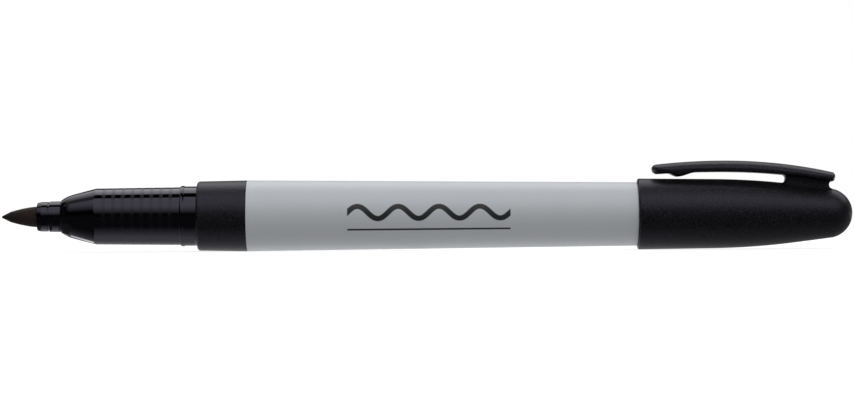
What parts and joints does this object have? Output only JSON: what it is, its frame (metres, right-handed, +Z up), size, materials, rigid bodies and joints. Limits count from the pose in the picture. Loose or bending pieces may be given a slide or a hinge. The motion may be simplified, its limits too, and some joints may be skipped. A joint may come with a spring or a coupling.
{
  "type": "permanent marker",
  "caption": "Fine-tip permanent marker: felt nib, ringed glossy grip, tapered grey barrel and a black clip cap posted on the rear end, which pulls off and turns.",
  "frame": {"origin": "on the surface the marker lies on, below the middle of its length", "axes": "+X along the marker from the nib to the domed end of the cap, +Z up through the clip"},
  "size_m": [0.142, 0.0118, 0.0148],
  "materials": {
    "felt": "ink-soaked hard felt, ground to a point",
    "glossy_black": "polished moulding",
    "matte_black": "fine spark-eroded moulding",
    "satin_grey": "satin moulding",
    "ink_fibre": "ink-soaked fibre",
    "clear_film": "thin wrapped film",
    "plug_black": "satin moulding",
    "natural_liner": "natural polyethylene moulding"
  },
  "bodies": {
    "body": {"nib": "felt", "nib_holder": "glossy_black", "section": "glossy_black", "collar": "matte_black", "barrel": "satin_grey", "ink_reservoir": "ink_fibre", "reservoir_film": "clear_film", "tail_plug": "plug_black"},
    "cap_liner": {"inner_cap": "natural_liner"},
    "cap": {"cap_shell": "matte_black"},
    "clip": {"clip_arm": "matte_black"}
  },
  "joints": [
    {"name": "cap_pull", "type": "slide", "parent": "body", "child": "cap_liner", "axis": [1, 0, 0], "range_m": [0, 0.03]},
    {"name": "cap_twist", "type": "hinge", "parent": "cap_liner", "child": "cap", "pos_m": [0.03513, 0, 0.00592], "axis": [1, 0, 0], "continuous": true},
    {"name": "clip_flex", "type": "hinge", "parent": "cap", "child": "clip", "pos_m": [0.05881, 0, 0.01336], "axis": [0, 1, 0], "range_deg": [0, 6], "stiffness_Nm_per_rad": 0.3}
  ]
}
